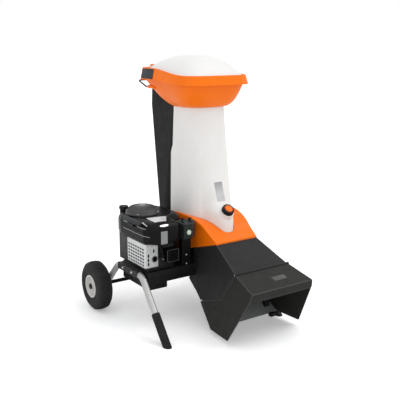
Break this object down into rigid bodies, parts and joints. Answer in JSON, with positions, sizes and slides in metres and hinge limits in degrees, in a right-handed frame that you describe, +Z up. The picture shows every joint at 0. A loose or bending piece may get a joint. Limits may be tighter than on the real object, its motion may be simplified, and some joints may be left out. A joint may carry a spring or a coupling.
{
  "type": "garden shredder",
  "caption": "Wheeled garden shredder with a tall feed tower and domed hopper lid, petrol engine at its side and a folding outlet flap.",
  "frame": {"origin": "middle of the footprint, on the floor", "axes": "+Z up, the outlet faces -Y, the wheels are at +Y, the engine stands at -X"},
  "size_m": [0.881, 1.037, 1.326],
  "materials": {
    "white": "smooth white moulding",
    "orange": "smooth orange moulding",
    "dark_plastic": "fine textured dark moulding",
    "spine_grey": "satin dark moulding",
    "grip_grey": "soft textured grip",
    "black_steel": "black powder coat",
    "silver_tube": "silver coated steel tube",
    "bright_steel": "bright steel",
    "rubber": "black rubber",
    "tyre": "black pneumatic tyre",
    "rim_grey": "warm grey painted steel",
    "engine_black": "semi gloss black",
    "alloy": "dark cast alloy",
    "control_grey": "blue grey moulding",
    "green": "green button"
  },
  "bodies": {
    "chassis": {"air_filter_cover": "engine_black", "base_cover": "orange", "belt_housing": "black_steel", "chassis_tube_left": "silver_tube", "chassis_tube_right": "silver_tube", "chute_housing": "dark_plastic", "control_box": "control_grey", "control_post": "black_steel", "counter_knife": "bright_steel", "cutter_housing": "black_steel", "drive_belt": "rubber", "engine_block": "alloy", "engine_shroud": "engine_black", "foot_sleeve_left": "rubber", "foot_sleeve_right": "rubber", "muffler": "black_steel", "muffler_guard": "bright_steel", "rotor_bearing_lower": "bright_steel", "spark_plug": "black_steel", "starter_cover": "engine_black", "tower_hinge_bracket": "black_steel", "tube_bracket_left": "black_steel", "tube_bracket_right": "black_steel", "wheel_axle": "bright_steel"},
    "wheel_left_body": {"tyre_left": "tyre", "rim_left": "rim_grey", "hub_cap_left": "dark_plastic"},
    "wheel_right_body": {"tyre_right": "tyre", "rim_right": "rim_grey", "hub_cap_right": "dark_plastic"},
    "flap_body": {"chute_flap": "dark_plastic", "flap_hinge_pin": "black_steel"},
    "tower_body": {"tower_shell": "white", "tower_spine": "spine_grey", "hopper": "orange", "grip_insert_left": "grip_grey", "grip_insert_right": "grip_grey", "tow_handle": "black_steel", "tower_hinge_pin": "bright_steel"},
    "knob_body": {"locking_knob": "dark_plastic", "knob_cap": "orange"},
    "lid_body": {"lid": "white", "lid_hinge_pin": "bright_steel"},
    "crank_body": {"crankshaft": "bright_steel", "drive_pulley": "bright_steel"},
    "rotor_body": {"rotor_shaft": "bright_steel", "driven_pulley": "bright_steel", "knife_disc": "black_steel", "knife_a": "bright_steel", "knife_b": "bright_steel"},
    "starter_body": {"starter_grip": "engine_black"},
    "button_body": {"stop_button": "green"},
    "throttle_body": {"throttle_lever": "dark_plastic"},
    "choke_body": {"choke_lever": "dark_plastic"},
    "fuel_cap_body": {"fuel_cap": "engine_black"},
    "oil_cap_body": {"oil_cap": "black_steel"}
  },
  "joints": [
    {"name": "wheel_left_spin", "type": "hinge", "parent": "chassis", "child": "wheel_left_body", "pos_m": [-0.398, 0.38851, 0.13], "axis": [1, 0, 0], "continuous": true},
    {"name": "wheel_right_spin", "type": "hinge", "parent": "chassis", "child": "wheel_right_body", "pos_m": [0.398, 0.38851, 0.13], "axis": [1, 0, 0], "continuous": true},
    {"name": "flap_fold", "type": "hinge", "parent": "chassis", "child": "flap_body", "pos_m": [0.114, -0.36349, 0.334], "axis": [-1, 0, 0], "range_deg": [0, 68]},
    {"name": "tower_tilt", "type": "hinge", "parent": "chassis", "child": "tower_body", "pos_m": [0.114, 0.31951, 0.46], "axis": [-1, 0, 0], "range_deg": [0, 68]},
    {"name": "knob_turn", "type": "hinge", "parent": "tower_body", "child": "knob_body", "pos_m": [0.114, -0.0803, 0.55839], "axis": [0, -0.6018, 0.7986], "range_deg": [0, 720]},
    {"name": "lid_open", "type": "hinge", "parent": "tower_body", "child": "lid_body", "pos_m": [0.114, 0.45952, 1.268], "axis": [-1, 0, 0], "range_deg": [0, 95]},
    {"name": "crank_spin", "type": "hinge", "parent": "chassis", "child": "crank_body", "pos_m": [-0.231, 0.13451, 0.262], "axis": [0, 0, 1], "continuous": true},
    {"name": "rotor_spin", "type": "hinge", "parent": "chassis", "child": "rotor_body", "pos_m": [0.114, 0.15951, 0.35], "axis": [0, 0, 1], "continuous": true},
    {"name": "starter_pull", "type": "slide", "parent": "chassis", "child": "starter_body", "axis": [-1, 0, 0], "range_m": [0, 0.8], "stiffness_N_per_m": 20, "springref_m": -0.2},
    {"name": "stop_press", "type": "slide", "parent": "chassis", "child": "button_body", "axis": [0, 1, 0], "range_m": [0, 0.004], "stiffness_N_per_m": 300, "springref_m": -0.002},
    {"name": "throttle_swing", "type": "hinge", "parent": "chassis", "child": "throttle_body", "pos_m": [-0.083, -0.03549, 0.517], "axis": [1, 0, 0], "range_deg": [-25, 25]},
    {"name": "choke_swing", "type": "hinge", "parent": "chassis", "child": "choke_body", "pos_m": [-0.1265, -0.03549, 0.517], "axis": [1, 0, 0], "range_deg": [-25, 25]},
    {"name": "fuel_cap_turn", "type": "hinge", "parent": "chassis", "child": "fuel_cap_body", "pos_m": [-0.288, 0.26952, 0.5563], "axis": [0, 0, 1], "range_deg": [0, 360]},
    {"name": "oil_cap_turn", "type": "hinge", "parent": "chassis", "child": "oil_cap_body", "pos_m": [-0.186, -0.01078, 0.319], "axis": [0, -1, 0], "range_deg": [0, 720]}
  ],
  "couplings": [
    {"joint": "crank_spin", "follows": "rotor_spin", "ratio": 1.641}
  ]
}
